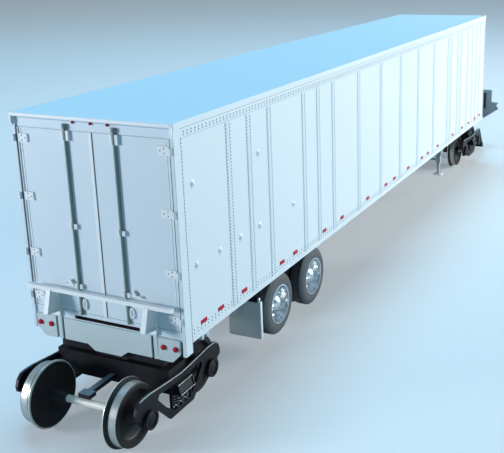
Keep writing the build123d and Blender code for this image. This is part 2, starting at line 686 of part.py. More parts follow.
for name, bx in bogie_xs.items():
    outline = half_frame + [(-x, z) for x, z in reversed(half_frame[1:-1])]
    sides = plate_xz([(bx + x, z) for x, z in outline], -frame_outer, -frame_inner)
    for flip in (-1, 1):
        sides -= plate_xz([(bx + flip * x, z) for x, z in big_window], -frame_outer - 1, -frame_inner + 1)
        wx = bx + flip * axle_offset
        sides += rod_y(-frame_outer - box_proud, -frame_inner, wx, tread_radius, box_radius)
        box_end = -frame_outer - box_proud
        sides -= rod_y(box_end - 1, box_end + 0.25, wx, tread_radius, box_radius - 0.45)
        sides -= rod_y(-journal_end - end_play, -frame_inner + 1, wx, tread_radius,
                       journal_radius + running_gap)
    sides -= box(bx - opening_half, bx + opening_half, -frame_outer - 1, -frame_inner + 1,
                 opening_floor, opening_top)
    nodes["side_frames_" + name] = both(sides)
    bolster_end = frame_outer + bolster_end_proud
    plate_start = frame_outer + 0.1
    middle_half = frame_inner - 0.1
    bolster = box(bx - bolster_half, bx + bolster_half, -middle_half, middle_half, bolster_low, bolster_top)
    bolster += box(bx - bolster_half, bx + bolster_half, -plate_start, plate_start,
                   bolster_low, opening_top - 0.1)
    plate = plate_yz([(-plate_start + 0.05, bolster_low), (-bolster_end - bolster_plate_lean, bolster_low),
                      (-bolster_end, bolster_end_high), (-plate_start + 0.05, bolster_end_high)],
                     bx - bolster_plate_half, bx + bolster_plate_half)
    sunk_low = bolster_low + bolster_border
    sunk_high = bolster_end_high - bolster_border
    lean = bolster_plate_lean / (bolster_end_high - bolster_low)
    deep_low = bolster_end + bolster_plate_lean - lean * bolster_border - bolster_panel_depth
    deep_high = bolster_end + lean * bolster_border - bolster_panel_depth
    plate -= plate_yz([(-deep_low, sunk_low), (-deep_low - 2, sunk_low), (-deep_high - 2, sunk_high),
                       (-deep_high, sunk_high)],
                      bx - bolster_plate_half + bolster_border, bx + bolster_plate_half - bolster_border)
    bolster += plate + left(plate)
    bolster -= rod_z(bolster_low - 1, bolster_top + 1, bx, 0, pin_radius + running_gap)
    nodes["bolster_" + name] = [bolster]
    coils = []
    for place in spring_places:
        spring_y = -(frame_inner + frame_outer) / 2
        coils += both(rod_z(opening_floor, bolster_low, bx + place, spring_y, spring_radius))
    nodes["bogie_springs_" + name] = coils
    ties = [box(bx + bolster_half, bx + tie_reach, -tie_half_width, tie_half_width, tie_low, tie_high),
            box(bx - tie_reach, bx - bolster_half, -tie_half_width, tie_half_width, tie_low, tie_high)
            + box(bx - tie_reach, bx - tie_reach + 1.6, -tie_head_half, tie_head_half, tie_low, tie_high)]
    nodes["centre_bars_" + name] = ties
    for k, flip in (("a", -1), ("b", 1)):
        wx = bx + flip * axle_offset
        axle = rod_y(-wheel_face, wheel_face, wx, tread_radius, rail_axle_radius + 0.02)
        axle += rod_y(-journal_end, journal_end, wx, tread_radius, journal_radius)
        nodes["rail_wheelset_" + name + "_" + k] = [axle + rail_wheel(wx, -1) + rail_wheel(wx, 1)]

# Beam across the front of the lead bogie, on two arms
beam_x = bogie_xs["lead"] + frame_half_length + end_beam_ahead
frame_end_x = bogie_xs["lead"] + frame_half_length
end_beam = box(beam_x, beam_x + end_beam_depth, -frame_outer, frame_outer, end_beam_low, end_beam_high)
beam_arm = plate_xz([(frame_end_x, end_arm_low), (frame_end_x, end_arm_high), (beam_x + 0.1, end_beam_high),
                     (beam_x + 0.1, end_beam_low)], -frame_outer, -frame_inner)
nodes["lead_end_beam"] = [end_beam + beam_arm + left(beam_arm)]

# Shift so that the origin is at the middle of the whole model, at the bottom of the flanges
spans = [shape.bounding_box() for shapes in nodes.values() for shape in shapes]
middle = (min(b.min.X for b in spans) + max(b.max.X for b in spans)) / 2
lift = flange_radius - tread_radius
os.makedirs("parts", exist_ok=True)
for name, shapes in nodes.items():
    moved = [Pos(-middle, 0, lift) * s for s in shapes]
    whole = moved[0] if len(moved) == 1 else Compound(children=moved)
    export_step(whole, "parts/" + name + ".step")
print("nodes", len(nodes), "shift", round(-middle, 4), round(lift, 4))
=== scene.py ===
import math

import bmesh
import bpy
from mathutils import Matrix, Vector


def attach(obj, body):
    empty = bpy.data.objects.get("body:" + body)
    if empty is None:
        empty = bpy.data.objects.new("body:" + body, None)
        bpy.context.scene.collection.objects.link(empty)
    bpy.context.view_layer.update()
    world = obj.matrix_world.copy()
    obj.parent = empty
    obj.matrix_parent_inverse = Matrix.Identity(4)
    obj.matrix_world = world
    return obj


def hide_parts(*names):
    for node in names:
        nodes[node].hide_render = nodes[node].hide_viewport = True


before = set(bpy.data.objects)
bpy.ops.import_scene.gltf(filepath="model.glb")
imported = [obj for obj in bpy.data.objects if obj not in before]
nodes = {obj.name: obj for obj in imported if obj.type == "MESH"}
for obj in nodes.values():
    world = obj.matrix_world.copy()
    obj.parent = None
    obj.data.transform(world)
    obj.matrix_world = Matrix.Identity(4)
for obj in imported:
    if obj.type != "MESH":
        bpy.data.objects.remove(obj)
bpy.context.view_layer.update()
mm = 0.001

# Where the drawing's own origin (rear door frame, rail head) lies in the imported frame, in mm
rearFace = -103.15
railHead = 0.5

cameraLook = dict(azimuth=-64.1, elevation=15.29, roll=-1.43, focal=850.7, centre=(296.7, 178.4),
                  place=(-97.69, -81.54, 72.60), width=504, height=453, sensor=36.0, near=0.005, far=20.0)

# Grain of every finish: noise detail, how much coarser the slow noise is, spread of roughness, depth in m
grainLook = dict(fineDetail=6.0, slowDetail=3.0, slowBy=18, roughSpread=0.08, leastRough=0.02, depth=0.00005)


def at(x, y, z):
    return Vector(((x + rearFace) * mm, y * mm, (z + railHead) * mm))


def makeCamera():
    look = cameraLook
    az = math.radians(look["azimuth"])
    el = math.radians(look["elevation"])
    roll = math.radians(look["roll"])
    back = Vector((math.sin(az) * math.cos(el), -math.cos(az) * math.cos(el), math.sin(el)))
    right = Vector((math.cos(az), math.sin(az), 0.0))
    up = back.cross(right)
    rolledRight = right * math.cos(roll) + up * math.sin(roll)
    rolledUp = up * math.cos(roll) - right * math.sin(roll)
    data = bpy.data.cameras.new("camera")
    data.sensor_fit = "HORIZONTAL"
    data.sensor_width = look["sensor"]
    data.lens = look["focal"] * look["sensor"] / look["width"]
    data.shift_x = (look["width"] / 2 - look["centre"][0]) / look["width"]
    data.shift_y = (look["centre"][1] - look["height"] / 2) / look["width"]
    data.clip_start = look["near"]
    data.clip_end = look["far"]
    camera = bpy.data.objects.new("camera", data)
    turn = Matrix((rolledRight, rolledUp, back)).transposed().to_4x4()
    camera.matrix_world = Matrix.Translation(at(*look["place"])) @ turn
    bpy.context.collection.objects.link(camera)
    bpy.context.scene.camera = camera


def softLamp(name, source, target, size, power, colour):
    data = bpy.data.lights.new(name, "AREA")
    data.shape = "RECTANGLE"
    data.size, data.size_y = size
    data.energy = power
    data.color = colour
    lamp = bpy.data.objects.new(name, data)
    lamp.location = source
    lamp.rotation_mode = "QUATERNION"
    lamp.rotation_quaternion = (Vector(target) - Vector(source)).to_track_quat("-Z", "Y")
    bpy.context.collection.objects.link(lamp)


def addNoise(tree, where, scale, detail):
    noise = tree.nodes.new("ShaderNodeTexNoise")
    noise.inputs["Scale"].default_value = scale
    noise.inputs["Detail"].default_value = detail
    tree.links.new(where.outputs["Object"], noise.inputs["Vector"])
    return noise


def spreadNoise(tree, noise, low, high):
    spread = tree.nodes.new("ShaderNodeMapRange")
    spread.inputs["To Min"].default_value = low
    spread.inputs["To Max"].default_value = high
    tree.links.new(noise.outputs["Fac"], spread.inputs["Value"])
    return spread.outputs["Result"]


# A finish with fine grain, a slow change of tone over the surface and a little orange peel
def finish(name, colour, rough=0.5, metal=0.0, grain=0.02, bump=0.05, scale=900.0, drift=0.02, shine=0.5):
    material = bpy.data.materials.new(name)
    material.use_nodes = True
    tree = material.node_tree
    shader = tree.nodes["Principled BSDF"]
    shader.inputs["Metallic"].default_value = metal
    shader.inputs["Specular IOR Level"].default_value = shine
    where = tree.nodes.new("ShaderNodeTexCoord")
    fine = addNoise(tree, where, scale, grainLook["fineDetail"])
    slow = addNoise(tree, where, scale / grainLook["slowBy"], grainLook["slowDetail"])
    tone = tree.nodes.new("ShaderNodeMath")
    tone.operation = "MULTIPLY"
    tree.links.new(spreadNoise(tree, fine, 1.0 - grain, 1.0 + grain), tone.inputs[0])
    tree.links.new(spreadNoise(tree, slow, 1.0 - drift, 1.0 + drift), tone.inputs[1])
    tint = tree.nodes.new("ShaderNodeVectorMath")
    tint.operation = "SCALE"
    tint.inputs[0].default_value = colour
    tree.links.new(tone.outputs["Value"], tint.inputs["Scale"])
    tree.links.new(tint.outputs["Vector"], shader.inputs["Base Color"])
    roughLow = max(grainLook["leastRough"], rough - grainLook["roughSpread"])
    roughHigh = min(1.0, rough + grainLook["roughSpread"])
    tree.links.new(spreadNoise(tree, fine, roughLow, roughHigh), shader.inputs["Roughness"])
    lift = tree.nodes.new("ShaderNodeBump")
    lift.inputs["Strength"].default_value = bump
    lift.inputs["Distance"].default_value = grainLook["depth"]
    tree.links.new(fine.outputs["Fac"], lift.inputs["Height"])
    tree.links.new(lift.outputs["Normal"], shader.inputs["Normal"])
    return material


# Faces that look up take another tone: on the rear frame the roof's tone, with its painted sky reflection,
# where the roof sheet runs over it; on the black centre bars a painted lit top
def paintTopLight(material, colour, leastUp=0.9):
    tree = material.node_tree
    shader = tree.nodes["Principled BSDF"]
    under = shader.inputs["Base Color"].links[0].from_socket
    facing = tree.nodes.new("ShaderNodeNewGeometry")
    split = tree.nodes.new("ShaderNodeSeparateXYZ")
    upward = tree.nodes.new("ShaderNodeMath")
    upward.operation = "GREATER_THAN"
    upward.inputs[1].default_value = leastUp
    mix = tree.nodes.new("ShaderNodeMix")
    mix.data_type = "RGBA"
    colourA, colourB, result = mix.inputs[6], mix.inputs[7], mix.outputs[2]
    tree.links.new(facing.outputs["Normal"], split.inputs["Vector"])
    tree.links.new(split.outputs["Z"], upward.inputs[0])
    tree.links.new(upward.outputs["Value"], mix.inputs["Factor"])
    tree.links.new(under, colourA)
    colourB.default_value = (*colour, 1)
    tree.links.new(result, shader.inputs["Base Color"])


def dress(material, name):
    shape = nodes[name].data
    shape.materials.clear()
    shape.materials.append(material)


# Mesh helpers, all in drawing millimetres
def newMesh():
    return bmesh.new()


# Evenly spaced values from start to just short of end
def spaced(start, end, pitch):
    values = []
    value = start
    while value < end:
        values.append(value)
        value += pitch
    return values


def addBox(mesh, x0, x1, y0, y1, z0, z1, bevel=0.0):
    made = bmesh.ops.create_cube(mesh, size=1.0)
    for v in made["verts"]:
        v.co = Vector(((x0 + x1) / 2 + v.co.x * abs(x1 - x0), (y0 + y1) / 2 + v.co.y * abs(y1 - y0),
                       (z0 + z1) / 2 + v.co.z * abs(z1 - z0)))
    if bevel:
        edges = list(dict.fromkeys(e for v in made["verts"] for e in v.link_edges))
        bmesh.ops.bevel(mesh, geom=edges, offset=bevel, segments=1, affect="EDGES")


# A body turned about a line along x, y or z; profile holds (along, radius) pairs and closes on itself
def addTurned(mesh, profile, centre, axis="y", steps=48):
    rings = []
    for along, radius in profile:
        ring = []
        if radius < 1e-6:
            spot = Vector(centre) + Vector(dict(x=(along, 0, 0), y=(0, along, 0), z=(0, 0, along))[axis])
            ring = [mesh.verts.new(spot)] * steps
        else:
            for k in range(steps):
                a = 2 * math.pi * k / steps
                u = radius * math.cos(a)
                v = radius * math.sin(a)
                off = Vector(dict(x=(along, u, v), y=(u, along, v), z=(u, v, along))[axis])
                ring.append(mesh.verts.new(Vector(centre) + off))
        rings.append(ring)
    for i in range(len(rings)):
        one, two = rings[i], rings[(i + 1) % len(rings)]
        if one[0] is one[1] and two[0] is two[1]:
            continue
        for k in range(steps):
            corners = [one[k], one[(k + 1) % steps], two[(k + 1) % steps], two[k]]
            unique = [v for n, v in enumerate(corners) if v not in corners[:n]]
            mesh.faces.new(unique)


# Low round heads on a flat face; towards is the direction in which they stand out
def addHeads(mesh, spots, towards, radius, height, sides=6, sunk=0.03, crownPart=0.55):
    out = Vector(towards)
    side = Vector((0, 0, 1)) if abs(out.z) < 0.5 else Vector((1, 0, 0))
    across = out.cross(side)
    for spot in spots:
        base = Vector(spot) - out * sunk
        crown = Vector(spot) + out * height
        low = []
        high = []
        for k in range(sides):
            a = 2 * math.pi * (k + 0.5) / sides
            turn = side * math.cos(a) + across * math.sin(a)
            low.append(mesh.verts.new(base + turn * radius))
            high.append(mesh.verts.new(crown + turn * radius * crownPart))
        for k in range(sides):
            n = (k + 1) % sides
            mesh.faces.new((low[k], low[n], high[n], high[k]))
        mesh.faces.new(list(reversed(low)))
        mesh.faces.new(high)


# A round bar swept along points, closed at both ends, or joined into a loop
def addBar(mesh, points, radius, sides=8, loop=False):
    spots = [Vector(p) for p in points]
    rings = []
    last = len(spots) - 1
    for i, spot in enumerate(spots):
        after = spots[(i + 1) % len(spots)] if loop else spots[min(i + 1, last)]
        before = spots[i - 1] if loop else spots[max(i - 1, 0)]
        ahead = (after - before).normalized()
        helper = Vector((0, 0, 1)) if abs(ahead.z) < 0.9 else Vector((1, 0, 0))
        one = ahead.cross(helper).normalized()
        two = ahead.cross(one)
        ring = []
        for k in range(sides):
            a = 2 * math.pi * k / sides
            ring.append(mesh.verts.new(spot + (one * math.cos(a) + two * math.sin(a)) * radius))
        rings.append(ring)
    pairs = list(zip(rings, rings[1:])) + ([(rings[-1], rings[0])] if loop else [])
    for one, two in pairs:
        for k in range(sides):
            n = (k + 1) % sides
            mesh.faces.new((one[k], one[n], two[n], two[k]))
    if not loop:
        mesh.faces.new(rings[0])
        mesh.faces.new(list(reversed(rings[-1])))


# A shallow dome on a flat face; hand is the direction along the axis in which it stands out
def addDome(mesh, centre, axis, hand, radius, height, steps=20, rings=5, sunk=0.04):
    profile = [(-sunk * hand, 0), (-sunk * hand, radius)]
    for k in range(1, rings + 1):
        a = math.pi / 2 * k / rings
        profile.append((hand * height * math.sin(a), radius * math.cos(a)))
    profile[-1] = (profile[-1][0], 0)
    addTurned(mesh, profile, centre, axis=axis, steps=steps)


# Turns a mesh into a piece in the frame; smooth is the angle in degrees above which an edge stays sharp
def place(name, mesh, material, body, smooth=35, flip=False):
    if flip:
        for v in mesh.verts:
            v.co.y = -v.co.y
    bmesh.ops.recalc_face_normals(mesh, faces=mesh.faces)
    for v in mesh.verts:
        v.co = at(*v.co)
    data = bpy.data.meshes.new(name)
    mesh.to_mesh(data)
    mesh.free()
    data.materials.append(material)
    if smooth:
        data.shade_smooth()
        data.set_sharp_from_angle(angle=math.radians(smooth))
    piece = bpy.data.objects.new(name, data)
    bpy.context.collection.objects.link(piece)
    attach(piece, body)
    return piece


makeCamera()

shellWhite = finish("shellWhite", (0.78, 0.84, 0.88), rough=0.42, grain=0.012)
# Roof white is bluer and darker than the walls' white: painted sky reflection on the roof
roofSkyTintWhite = finish("roofSkyTintWhite", (0.66, 0.78, 0.85), rough=0.45, grain=0.012)
# Post strips are a darker, bluer white than the sheet: painted shade between their rivet columns
postShadeWhite = finish("postShadeWhite", (0.70, 0.79, 0.85), rough=0.45, grain=0.02)
# Rivet heads are dark grey-blue rather than the sheet's white, darker still on the post columns: painted
# shade around each head
rivetShadeGrey = finish("rivetShadeGrey", (0.36, 0.46, 0.54), rough=0.4, grain=0.02)
rivetShadeBlue = finish("rivetShadeBlue", (0.20, 0.30, 0.38), rough=0.45, grain=0.02)
doorWhite = finish("doorWhite", (0.68, 0.78, 0.84), rough=0.45, grain=0.015)
frameWhite = finish("frameWhite", (0.68, 0.78, 0.84), rough=0.45, grain=0.015)
# The rear frame's faces that look up take the roof's tone, with the roof's painted sky reflection
paintTopLight(frameWhite, (0.68, 0.79, 0.86))
fittingWhite = finish("fittingWhite", (0.84, 0.88, 0.89), rough=0.45, grain=0.02)
guardWhite = finish("guardWhite", (0.90, 0.93, 0.93), rough=0.45, grain=0.02)
swellWhite = finish("swellWhite", (0.74, 0.82, 0.87), rough=0.38, grain=0.01)
lowerGrey = finish("lowerGrey", (0.56, 0.66, 0.68), rough=0.5, grain=0.03)
gasketGrey = finish("gasketGrey", (0.42, 0.49, 0.53), rough=0.7, grain=0.05)
# Hood white is brighter than the frame's white: a painted highlight on the hood's face
hoodLitWhite = finish("hoodLitWhite", (0.92, 0.94, 0.94), rough=0.45, grain=0.01)
# Blue-grey for the rail lines, which are dark joints, and for the painted shade line under the hood's lip
jointAndShadeBlue = finish("jointAndShadeBlue", (0.40, 0.50, 0.58), rough=0.6, grain=0.05)
seamAndShadowGrey = finish("seamAndShadowGrey", (0.10, 0.13, 0.14), rough=0.7, grain=0.05)
# Near black for the slot's inside: painted shade
slotShadeDark = finish("slotShadeDark", (0.02, 0.012, 0.02), rough=0.8, grain=0.1)
platformGrey = finish("platformGrey", (0.36, 0.42, 0.44), rough=0.55, grain=0.05)
legGrey = finish("legGrey", (0.42, 0.50, 0.54), rough=0.5, grain=0.05)
frameBlack = finish("frameBlack", (0.014, 0.013, 0.016), rough=0.42, grain=0.2, bump=0.15, shine=0.3)
barBlack = finish("barBlack", (0.02, 0.02, 0.024), rough=0.42, grain=0.2, bump=0.15, shine=0.3)
# The black centre bars take a pale blue-grey on faces that look up: a painted lit top
paintTopLight(barBlack, (0.20, 0.30, 0.36))
springBlack = finish("springBlack", (0.07, 0.075, 0.08), rough=0.35, grain=0.1)
# Grey for the painted highlights on the side frames' edges, and for the deck bolts
glintAndBoltGrey = finish("glintAndBoltGrey", (0.30, 0.38, 0.42), rough=0.35, grain=0.1)
wheelBlack = finish("wheelBlack", (0.022, 0.020, 0.022), rough=0.5, grain=0.2, bump=0.1, shine=0.4)
# Lock rods in dark grey-green: painted shade of the rods and the shadows they cast on the doors
rodShadeGrey = finish("rodShadeGrey", (0.22, 0.28, 0.26), rough=0.35, grain=0.05)
lensRed = finish("lensRed", (0.50, 0.001, 0.015), rough=0.45, grain=0.05, shine=0.25)
tyreRubber = finish("tyreRubber", (0.10, 0.105, 0.115), rough=0.75, grain=0.12, bump=0.3)
rimChrome = finish("rimChrome", (0.90, 0.94, 0.97), rough=0.17, metal=0.88, grain=0.03)
treadSteel = finish("treadSteel", (0.62, 0.63, 0.60), rough=0.32, metal=0.6, grain=0.06)
axleSteel = finish("axleSteel", (0.96, 0.95, 0.84), rough=0.45, metal=0.05, grain=0.06)
# Cream ring on each flange edge: partly the steel of the tip, partly a painted highlight
edgeGlintSteel = finish("edgeGlintSteel", (0.90, 0.90, 0.80), rough=0.25, metal=0.3, grain=0.04)
flapGrey = finish("flapGrey", (0.78, 0.88, 0.87), rough=0.6, grain=0.05)

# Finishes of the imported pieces; tyres, rims and wheelsets go by the start of their names, the rest is black
materialOf = {
    "side_wall_right": shellWhite, "side_wall_left": shellWhite, "roof": roofSkyTintWhite, "nose_wall": shellWhite,
    "rear_frame": frameWhite, "rear_door_right": doorWhite, "rear_door_left": doorWhite,
    "door_seam_strip": fittingWhite, "door_hinges": fittingWhite, "rod_keepers": fittingWhite,
    "bumper_guard": guardWhite, "side_bumps": swellWhite, "lock_rods": rodShadeGrey,
    "coupling_apron": lowerGrey, "lamp_panels": lowerGrey, "side_brackets": lowerGrey,
    "centre_bars_rear": barBlack, "centre_bars_lead": barBlack,
    "platform_end_frame": platformGrey, "platform_sill": platformGrey,
    "tail_lamps": lensRed, "header_lamps": lensRed, "side_reflectors": lensRed,
    "landing_legs": legGrey, "landing_feet": fittingWhite, "landing_braces": platformGrey,
    "mud_flaps": flapGrey,
}
for name in nodes:
    if name.startswith("road_tyres"):
        dress(tyreRubber, name)
    elif name.startswith("road_rims"):
        dress(rimChrome, name)
    elif name.startswith("rail_wheelset"):
        dress(treadSteel, name)
    else:
        dress(materialOf.get(name, frameBlack), name)
print("finishes done")

# Side walls: rivet rows along the rails, double rivet columns on the post strips, a thin column by the corner
shell = dict(railFace=14.87, sheetFace=14.75, sheetLow=15.3, sheetHigh=46.5)
posts = dict(first=15.4, pitch=14.0, count=12, extra=(22.1, 50.0, 144.5, 151.9, 163.4, 174.2, 178.7),
             half=0.74, proud=0.06, back=0.02)
rivetRows = dict(rows=((47.32, 14.87), (46.88, 14.87), (16.28, 14.75), (15.72, 14.75)),
                 start=2.75, pitch=1.04, count=174, radius=0.20, height=0.07)
rivetColumns = dict(half=0.56, pitch=0.56, low=15.6, high=46.3, proud=0.05, radius=0.17, height=0.07)
cornerColumn = dict(x=2.16, pitch=0.57, low=15.5, high=46.4, radius=0.13, height=0.07)

# Skins on the rails and corner posts, and dark seams: along x, out from the rail's face, and up
railSkins = (dict(start=0.02, end=185.0, sunk=0.02, proud=0.07, low=47.92, high=48.92, bevel=0.03),
             dict(start=1.95, end=185.0, sunk=0.02, proud=0.05, low=14.57, high=15.28, bevel=0.03),
             dict(start=0.02, end=1.84, sunk=0.02, proud=0.03, low=12.95, high=47.90, bevel=0.02))
sideSeams = (dict(start=1.92, end=184.5, sunk=0.02, proud=0.012, low=47.86, high=47.93, bevel=0),
             dict(start=1.86, end=1.94, sunk=0.02, proud=0.012, low=14.6, high=46.6, bevel=0))
railLine = dict(start=1.95, end=184.5, sunk=0.03, low=46.42, high=46.52)


def addSideBars(mesh, bars):
    for bar in bars:
        outer = -shell["railFace"] - bar["proud"]
        inner = -shell["railFace"] + bar["sunk"]
        addBox(mesh, bar["start"], bar["end"], outer, inner, bar["low"], bar["high"], bevel=bar["bevel"])


postXs = [posts["first"] + posts["pitch"] * k for k in range(posts["count"])] + list(posts["extra"])
for side, flip in (("right", False), ("left", True)):
    mesh = newMesh()
    for z, face in rivetRows["rows"]:
        spots = [(rivetRows["start"] + rivetRows["pitch"] * k, -face, z) for k in range(rivetRows["count"])]
        addHeads(mesh, spots, (0, -1, 0), rivetRows["radius"], rivetRows["height"])
    place("side_rivets_" + side, mesh, rivetShadeGrey, "trailer", flip=flip)
    mesh = newMesh()
    heights = spaced(rivetColumns["low"], rivetColumns["high"], rivetColumns["pitch"])
    face = -shell["sheetFace"] - rivetColumns["proud"]
    for x in postXs:
        for off in (-rivetColumns["half"], rivetColumns["half"]):
            spots = [(x + off, face, z) for z in heights]
            addHeads(mesh, spots, (0, -1, 0), rivetColumns["radius"], rivetColumns["height"])
    heights = spaced(cornerColumn["low"], cornerColumn["high"], cornerColumn["pitch"])
    spots = [(cornerColumn["x"], -shell["sheetFace"], z) for z in heights]
    addHeads(mesh, spots, (0, -1, 0), cornerColumn["radius"], cornerColumn["height"])
    place("post_rivets_" + side, mesh, rivetShadeBlue, "trailer", flip=flip)
    mesh = newMesh()
    for x in postXs:
        addBox(mesh, x - posts["half"], x + posts["half"], -shell["sheetFace"] - posts["proud"],
               -shell["sheetFace"] - posts["back"], shell["sheetLow"], shell["sheetHigh"])
    place("post_strips_" + side, mesh, postShadeWhite, "trailer", smooth=0, flip=flip)
    mesh = newMesh()
    addSideBars(mesh, railSkins)
    place("side_rails_" + side, mesh, shellWhite, "trailer", smooth=0, flip=flip)
    mesh = newMesh()
    addSideBars(mesh, sideSeams)
    place("side_seams_" + side, mesh, seamAndShadowGrey, "trailer", smooth=0, flip=flip)
    mesh = newMesh()
    addBox(mesh, railLine["start"], railLine["end"], -shell["railFace"] + railLine["sunk"],
           -shell["sheetFace"] + railLine["sunk"], railLine["low"], railLine["high"])
    place("rail_lines_" + side, mesh, jointAndShadeBlue, "trailer", smooth=0, flip=flip)

# Low round swells on the sheets; spots are (x, part of the height)
swell = dict(spots=((4.5, 0.317), (11.4, 0.317), (18.1, 0.317), (24.8, 0.317), (38.2, 0.317), (4.5, 0.747),
                    (25.1, 0.747)),
             low=16.9, height=29.7, radius=0.78, proud=0.299, sunk=0.04, rings=8, steps=28)
mesh = newMesh()
for side in (-1, 1):
    for x, part in swell["spots"]:
        profile = [(-side * swell["sunk"], 0), (-side * swell["sunk"], swell["radius"])]
        for k in range(swell["rings"] + 1):
            t = k / swell["rings"]
            out = swell["proud"] * math.sin(math.pi / 2 * t) ** 2
            profile.append((side * out, swell["radius"] * (1 - t)))
        centre = (x, side * shell["sheetFace"], swell["low"] + part * swell["height"])
        addTurned(mesh, profile, centre, steps=swell["steps"])
swells = place("sheet_swells", mesh, swellWhite, "trailer", smooth=60)
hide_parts("side_bumps")
print("side walls done")

# Rear doors: a gasket, pale trim and a raised bead down the sides, grey lines above and below, and a painted
# shadow line beside the seam strip
doors = dict(face=0.30, sunk=0.05, low=16.90, high=46.60, edge=14.31, gasket=0.16, gasketFace=0.04, trim=0.22,
             trimFace=0.14, bead=13.42, beadWidth=0.12, beadProud=0.06, beadLow=17.2, beadHigh=46.4,
             lineProud=0.03, lines=((46.58, 46.70), (16.80, 16.92)), seamShadow=(-0.36, -0.26), overlap=0.02)
hinges = dict(heights=(44.907, 35.492, 26.107, 18.682), face=0.06, back=0.20, inner=12.10, outer=14.05,
              half=0.68, bevel=0.04, rivets=((12.50, 0.0), (13.20, 0.36), (13.20, -0.36)), rivetRadius=0.14,
              rivetHeight=0.05)
dark = newMesh()
grey = newMesh()
white = newMesh()
doorBack = doors["face"] + doors["sunk"]
for side in (-1, 1):
    inner = doors["edge"] - doors["gasket"]
    addBox(dark, doors["gasketFace"], doorBack, side * inner, side * doors["edge"], doors["low"],
           doors["high"] + doors["sunk"])
    addBox(white, doors["trimFace"], doorBack, side * (inner - doors["trim"]), side * inner,
           doors["low"] + doors["overlap"], doors["high"])
    addBox(white, doors["face"] - doors["beadProud"], doors["face"] + doors["overlap"], side * doors["bead"],
           side * (doors["bead"] + doors["beadWidth"]), doors["beadLow"], doors["beadHigh"])
    for z in hinges["heights"]:
        addBox(white, hinges["face"], hinges["back"], side * hinges["inner"], side * hinges["outer"],
               z - hinges["half"], z + hinges["half"], bevel=hinges["bevel"])
    spots = [(hinges["face"], side * y, z + off) for z in hinges["heights"] for y, off in hinges["rivets"]]
    addHeads(dark, spots, (-1, 0, 0), hinges["rivetRadius"], hinges["rivetHeight"])
for low, high in doors["lines"]:
    addBox(grey, doors["face"] - doors["lineProud"], doorBack, -doors["edge"], doors["edge"], low, high)
# Painted shadow of the seam strip: a dark line along its right side
addBox(dark, doors["face"] - doors["lineProud"], doorBack, doors["seamShadow"][0], doors["seamShadow"][1], doors["low"],
       doors["high"])
place("door_gaskets_and_seam_shadow", dark, seamAndShadowGrey, "trailer", smooth=0)
place("door_rivets", grey, gasketGrey, "trailer", smooth=0)
place("door_beads", white, fittingWhite, "trailer", smooth=0)

# A dark sleeve inside the slot above the apron: painted shade of the slot's shaded inside
slot = dict(half=6.33, low=15.56, high=16.16, front=0.32, back=1.28, wall=0.04)
mesh = newMesh()
inner = slot["back"] - slot["wall"]
addBox(mesh, inner, slot["back"], -slot["half"], slot["half"], slot["low"], slot["high"])
for low in (slot["low"], slot["high"] - slot["wall"]):
    addBox(mesh, slot["front"], inner, -slot["half"], slot["half"], low, low + slot["wall"])
place("slot_shade_sleeve", mesh, slotShadeDark, "trailer", smooth=0)

# Domed lenses on the tail and header lamps
lamps = dict(tail=((10.95, 14.07), (13.15, 14.07)), tailX=-0.45, tailRadius=0.40, header=(3.0, -0.3, -3.4),
             headerZ=47.99, headerX=0.05, headerRadius=0.20, dome=0.09)
mesh = newMesh()
for side in (-1, 1):
    for y, z in lamps["tail"]:
        addDome(mesh, (lamps["tailX"], side * y, z), "x", -1, lamps["tailRadius"], lamps["dome"])
for y in lamps["header"]:
    addDome(mesh, (lamps["headerX"], y, lamps["headerZ"]), "x", -1, lamps["headerRadius"], lamps["dome"])
place("lamp_lenses", mesh, lensRed, "trailer", smooth=50)

# Rain hood over the doors, paler than the frame as a painted highlight: a folded ear closes each end of it,
# and a painted shade line runs under its lip
hood = dict(reach=0.43, back=0.04, half=14.86, thick=0.22, top=48.38, straight=47.55, tip=46.65,
            lipBack=-0.30, lipHalf=14.84, lipLow=48.43, lipHigh=48.93, bevel=0.06)
hoodShadeLine = dict(front=0.25, back=0.36, half=14.28, low=48.05, high=48.36)
mesh = newMesh()
earCorners = ((hood["back"], hood["top"]), (-hood["reach"], hood["top"]), (-hood["reach"], hood["straight"]),
              (hood["back"], hood["tip"]))
for side in (-1, 1):
    outer = [mesh.verts.new((x, side * hood["half"], z)) for x, z in earCorners]
    inner = [mesh.verts.new((x, side * (hood["half"] - hood["thick"]), z)) for x, z in earCorners]
    for k in range(4):
        n = (k + 1) % 4
        mesh.faces.new((outer[k], outer[n], inner[n], inner[k]))
    mesh.faces.new(outer)
    mesh.faces.new(list(reversed(inner)))
addBox(mesh, -hood["reach"], hood["lipBack"], -hood["lipHalf"], hood["lipHalf"], hood["lipLow"],
       hood["lipHigh"], bevel=hood["bevel"])
place("hood_ears", mesh, hoodLitWhite, "trailer", smooth=0)
# Painted shade line under the hood's lip
mesh = newMesh()
addBox(mesh, hoodShadeLine["front"], hoodShadeLine["back"], -hoodShadeLine["half"], hoodShadeLine["half"], hoodShadeLine["low"],
       hoodShadeLine["high"])
place("hood_shade_line", mesh, jointAndShadeBlue, "trailer", smooth=0)
print("doors done")

